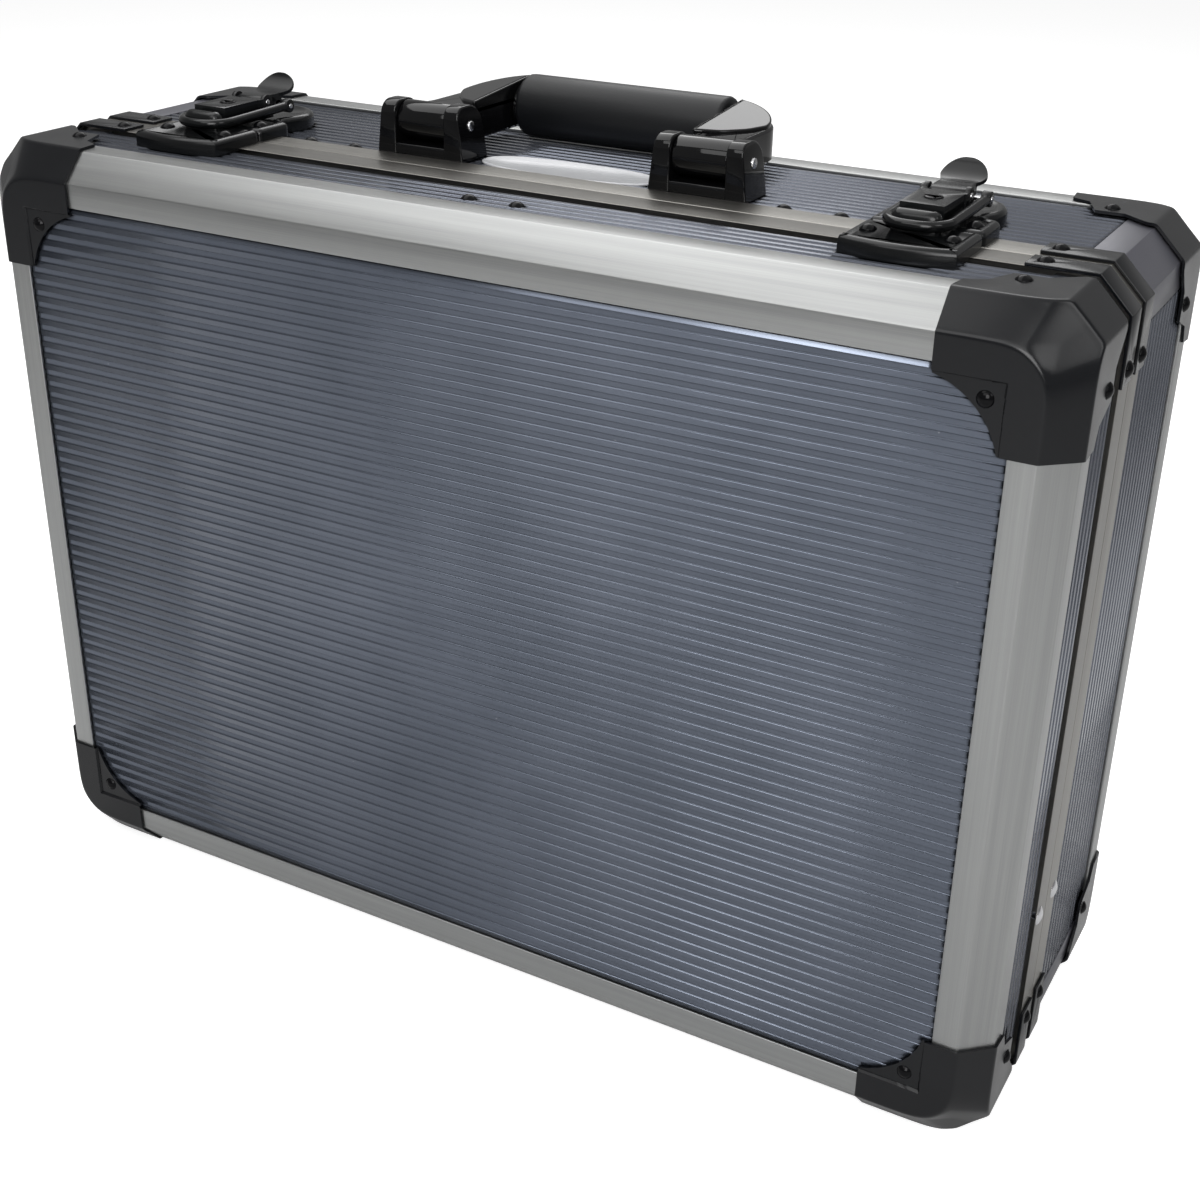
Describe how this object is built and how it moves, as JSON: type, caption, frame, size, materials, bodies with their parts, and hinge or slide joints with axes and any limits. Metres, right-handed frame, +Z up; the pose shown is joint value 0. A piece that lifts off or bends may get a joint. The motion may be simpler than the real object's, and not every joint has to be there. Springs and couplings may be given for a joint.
{
  "type": "hard tool case",
  "caption": "Hard-shell tool case with a hinged lid, ribbed panels, chamfered edge profiles, corner guards, over-centre latches with locks and a folding handle.",
  "frame": {"origin": "middle of the footprint, on the ground plane that the lower corner guards rest on", "axes": "+X along the width, the longest side; +Y from the lid to the base's back; +Z up, from the hinged edge to the latches and handle"},
  "size_m": [0.4656, 0.1696, 0.3564],
  "materials": {
    "face_laminate": "ribbed grey laminate with a soft satin sheen",
    "side_laminate": "ribbed grey laminate with glossy rib tops",
    "edge_aluminium": "brushed extrusion, clear anodised",
    "rim_aluminium": "brushed extrusion, bronze-grey anodised",
    "cover_sheet": "smooth grey lacquered sheet",
    "black_steel": "satin black coated pressed steel",
    "gloss_black": "glossy black moulding",
    "grip_rubber": "fine matte black grip",
    "plated_steel": "bright zinc plated",
    "badge_silver": "bare pale satin plate",
    "lining_board": "dark fibre board with flock"
  },
  "bodies": {
    "lid": {"lid_face_panel": "face_laminate", "lid_edge_profiles": "edge_aluminium", "lid_wall_top": "side_laminate", "lid_wall_bottom": "side_laminate", "lid_wall_left": "side_laminate", "lid_wall_right": "side_laminate", "lid_rim": "rim_aluminium", "lid_lining": "lining_board", "lid_guard_top_left": "black_steel", "lid_guard_top_right": "black_steel", "lid_guard_bottom_left": "black_steel", "lid_guard_bottom_right": "black_steel", "lid_rim_clips": "black_steel", "lid_rivets": "black_steel", "latch_hook_left": "black_steel", "latch_hook_right": "black_steel", "lid_hinge_leaves": "black_steel", "lid_stay_rivets": "plated_steel"},
    "base": {"base_back_panel": "face_laminate", "base_edge_profiles": "edge_aluminium", "base_wall_top": "side_laminate", "base_wall_bottom": "side_laminate", "base_wall_left": "side_laminate", "base_wall_right": "side_laminate", "base_corner_covers": "cover_sheet", "base_rim": "rim_aluminium", "base_lining": "lining_board", "base_guard_top_left": "black_steel", "base_guard_top_right": "black_steel", "base_guard_bottom_left": "black_steel", "base_guard_bottom_right": "black_steel", "base_rim_clips": "black_steel", "base_rivets": "black_steel", "latch_plate_left": "black_steel", "latch_plate_right": "black_steel", "lock_housing_left": "black_steel", "lock_housing_right": "black_steel", "handle_bracket_left": "gloss_black", "handle_bracket_right": "gloss_black", "pivot_pins": "plated_steel", "badge_plate": "badge_silver", "base_hinge_leaves": "black_steel", "hinge_pins": "plated_steel", "base_stay_rivets": "plated_steel"},
    "lever_left": {"latch_lever_left": "black_steel", "bail_pin_left": "plated_steel"},
    "bail_left": {"latch_bail_left": "black_steel"},
    "key_left": {"key_cylinder_left": "black_steel"},
    "lever_right": {"latch_lever_right": "black_steel", "bail_pin_right": "plated_steel"},
    "bail_right": {"latch_bail_right": "black_steel"},
    "key_right": {"key_cylinder_right": "black_steel"},
    "handle": {"handle_arm_left": "gloss_black", "handle_arm_right": "gloss_black", "handle_grip": "grip_rubber"},
    "stay_base_left": {"stay_link_base_left": "plated_steel"},
    "stay_lid_left": {"stay_link_lid_left": "plated_steel"},
    "stay_base_right": {"stay_link_base_right": "plated_steel"},
    "stay_lid_right": {"stay_link_lid_right": "plated_steel"}
  },
  "joints": [
    {"name": "lid_hinge", "type": "hinge", "parent": "base", "child": "lid", "pos_m": [0, -0.02, 0.0024], "axis": [1, 0, 0], "range_deg": [0, 90]},
    {"name": "lever_left_pivot", "type": "hinge", "parent": "base", "child": "lever_left", "pos_m": [-0.1545, 0.0015, 0.3427], "axis": [1, 0, 0], "range_deg": [0, 100]},
    {"name": "bail_left_pivot", "type": "hinge", "parent": "lever_left", "child": "bail_left", "pos_m": [-0.1545, 0.011, 0.3402], "axis": [1, 0, 0], "range_deg": [-100, 0]},
    {"name": "key_left_turn", "type": "hinge", "parent": "base", "child": "key_left", "pos_m": [-0.1545, -0.01395, 0.3412], "axis": [0, 0, 1], "range_deg": [0, 90]},
    {"name": "lever_right_pivot", "type": "hinge", "parent": "base", "child": "lever_right", "pos_m": [0.1545, 0.0015, 0.3427], "axis": [1, 0, 0], "range_deg": [0, 100]},
    {"name": "bail_right_pivot", "type": "hinge", "parent": "lever_right", "child": "bail_right", "pos_m": [0.1545, 0.011, 0.3402], "axis": [1, 0, 0], "range_deg": [-100, 0]},
    {"name": "key_right_turn", "type": "hinge", "parent": "base", "child": "key_right", "pos_m": [0.1545, -0.01395, 0.3412], "axis": [0, 0, 1], "range_deg": [0, 90]},
    {"name": "handle_swing", "type": "hinge", "parent": "base", "child": "handle", "pos_m": [-0.0018, 0.003, 0.3437], "axis": [1, 0, 0], "range_deg": [0, 100]},
    {"name": "stay_base_left_pivot", "type": "hinge", "parent": "base", "child": "stay_base_left", "pos_m": [-0.2192, -0.01, 0.0812], "axis": [1, 0, 0], "range_deg": [0, 107]},
    {"name": "stay_lid_left_pivot", "type": "hinge", "parent": "lid", "child": "stay_lid_left", "pos_m": [-0.2212, -0.03, 0.0812], "axis": [1, 0, 0], "range_deg": [-107, 0]},
    {"name": "stay_base_right_pivot", "type": "hinge", "parent": "base", "child": "stay_base_right", "pos_m": [0.2192, -0.01, 0.0812], "axis": [1, 0, 0], "range_deg": [0, 107]},
    {"name": "stay_lid_right_pivot", "type": "hinge", "parent": "lid", "child": "stay_lid_right", "pos_m": [0.2212, -0.03, 0.0812], "axis": [1, 0, 0], "range_deg": [-107, 0]}
  ],
  "couplings": [
    {"joint": "bail_left_pivot", "follows": "lever_left_pivot", "ratio": -1},
    {"joint": "bail_right_pivot", "follows": "lever_right_pivot", "ratio": -1},
    {"joint": "stay_base_left_pivot", "follows": "lid_hinge", "ratio": 1.1829},
    {"joint": "stay_lid_left_pivot", "follows": "lid_hinge", "ratio": -1.1829},
    {"joint": "stay_base_right_pivot", "follows": "lid_hinge", "ratio": 1.1829},
    {"joint": "stay_lid_right_pivot", "follows": "lid_hinge", "ratio": -1.1829}
  ]
}
